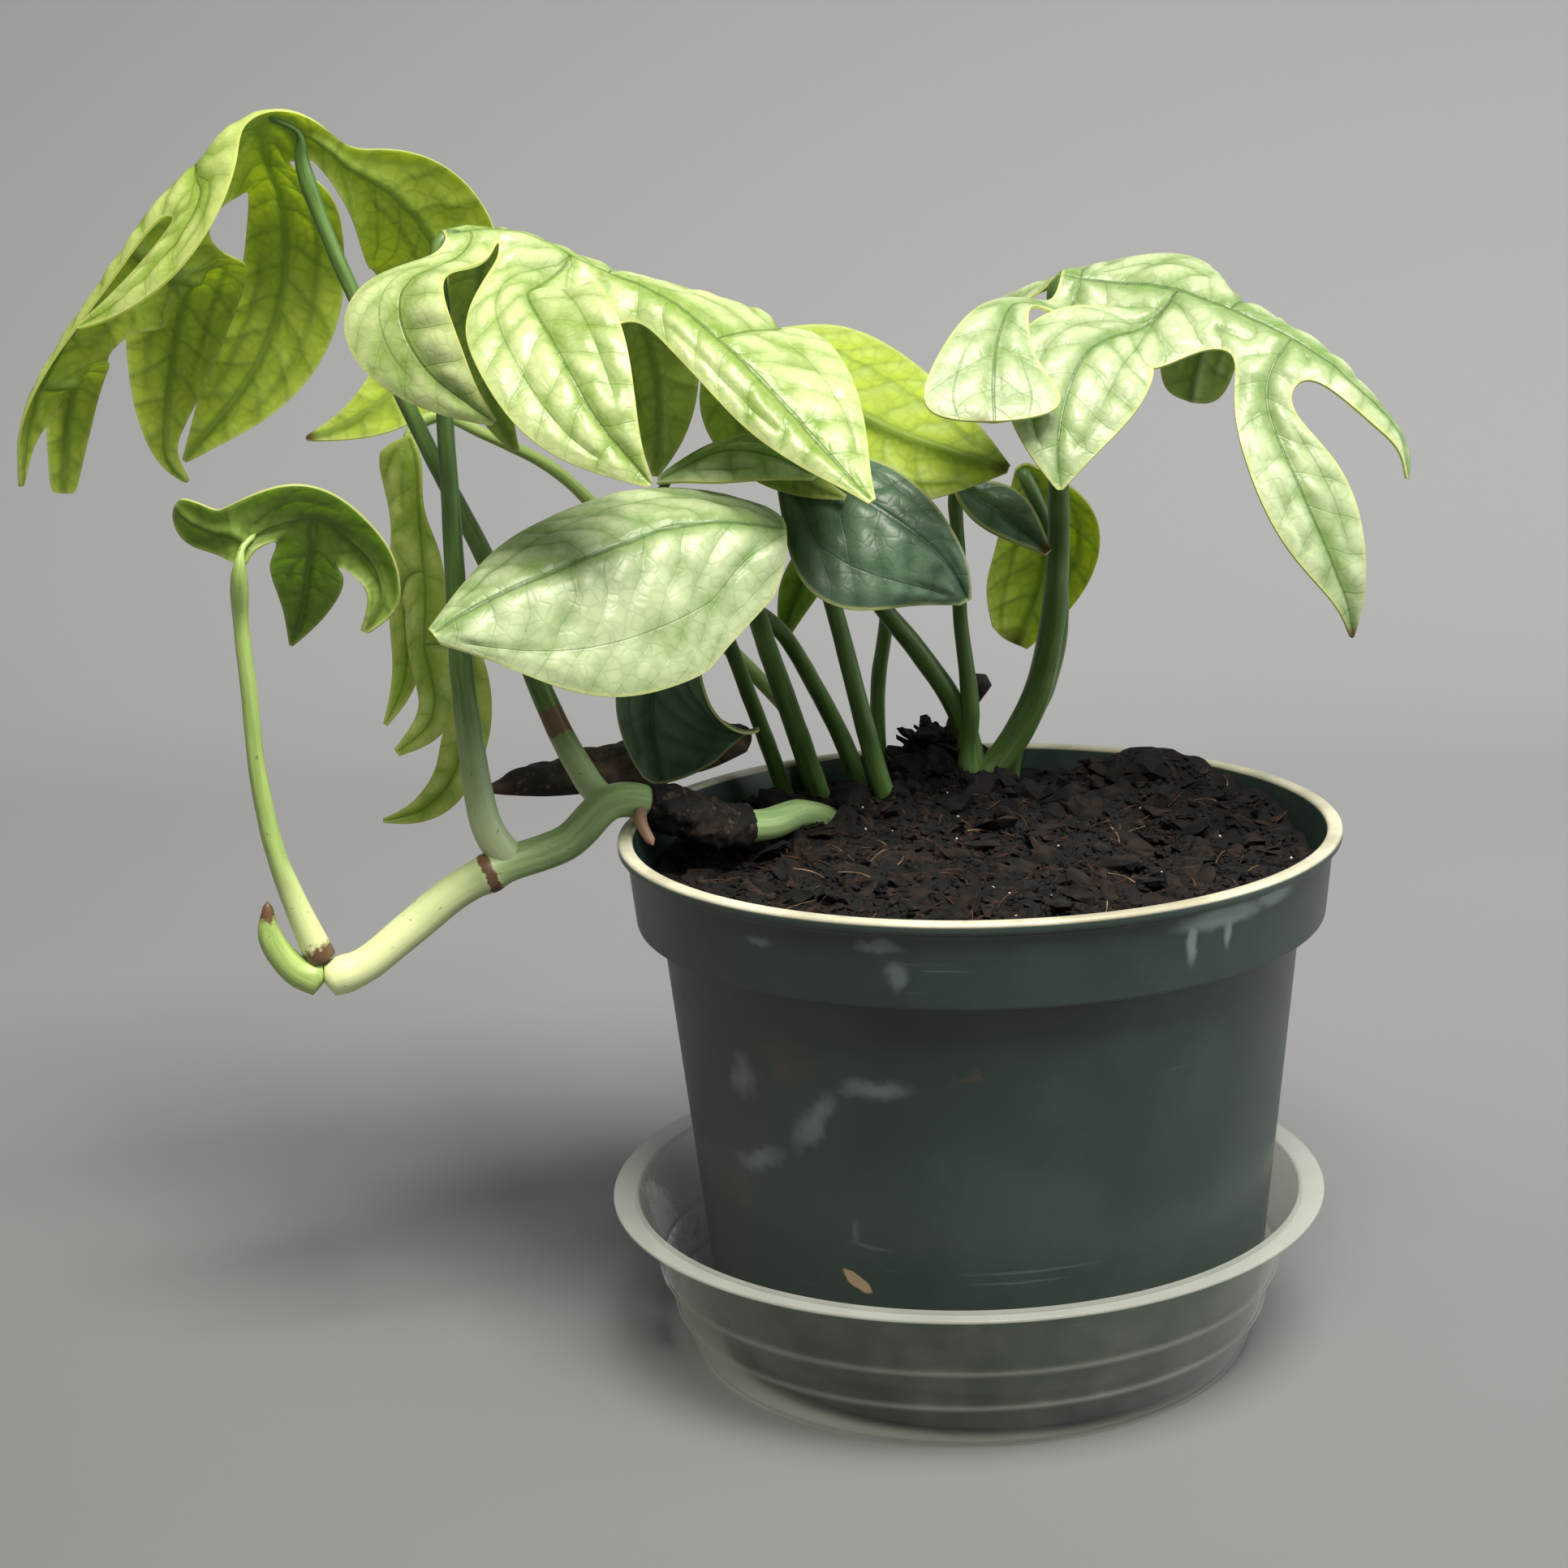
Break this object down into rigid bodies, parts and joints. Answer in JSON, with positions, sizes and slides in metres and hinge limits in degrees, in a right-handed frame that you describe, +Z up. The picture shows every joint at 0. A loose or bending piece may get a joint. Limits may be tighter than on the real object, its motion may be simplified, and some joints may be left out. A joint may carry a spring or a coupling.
{
  "type": "potted silver amydrium",
  "caption": "Potted climbing aroid: lobed, silvery leaves on long stalks and a trailing vine, in a flared nursery pot that stands in a shallow clear saucer.",
  "frame": {"origin": "on the pot's axis, in the plane of the saucer's underside", "axes": "+Z up; +X to the viewer's right, with the vine trailing towards -X; the front is towards -Y"},
  "size_m": [0.3178, 0.1666, 0.2891],
  "materials": {
    "pot_plastic": "moulded satin",
    "clear_plastic": "clear thin vacuum-formed plastic",
    "potting_mix": "moist peat and bark",
    "silver_leaf": "silvery living leaf",
    "bright_leaf": "backlit living leaf",
    "green_leaf": "satin living leaf",
    "dark_leaf": "shaded living leaf",
    "dead_leaf": "dry crumpled leaf",
    "vine": "smooth living stem",
    "pale_stem": "smooth living stem",
    "stem": "smooth living stem",
    "root": "dry root",
    "dry_sheath": "dry papery sheath"
  },
  "bodies": {
    "root": {"saucer": "clear_plastic", "pot": "pot_plastic", "soil": "potting_mix", "leaf_far_left": "bright_leaf", "leaf_upper_front": "silver_leaf", "leaf_upper_back": "bright_leaf", "leaf_broad_front": "silver_leaf", "leaf_hanging_dark": "dark_leaf", "leaf_folded": "silver_leaf", "leaf_dark_silver": "dark_leaf", "leaf_small_dark": "dark_leaf", "leaf_backlit": "bright_leaf", "leaf_small_green": "green_leaf", "leaf_right": "silver_leaf", "leaf_curled": "green_leaf", "leaf_hanging": "bright_leaf", "dead_leaf": "dead_leaf", "vine_stem": "vine", "growth_bud": "pale_stem", "petiole_curled": "pale_stem", "petiole_upper_front": "stem", "petiole_far_left": "stem", "aerial_root": "root", "petiole_broad_front": "stem", "petiole_hanging_dark": "stem", "petiole_dark_silver": "stem", "petiole_folded": "stem", "petiole_small_green": "stem", "petiole_hanging": "pale_stem", "petiole_right": "stem", "petiole_backlit": "stem", "petiole_small_dark": "stem", "petiole_upper_back": "stem", "old_stem_stub": "dry_sheath", "dried_sheath": "dry_sheath"}
  },
  "joints": []
}
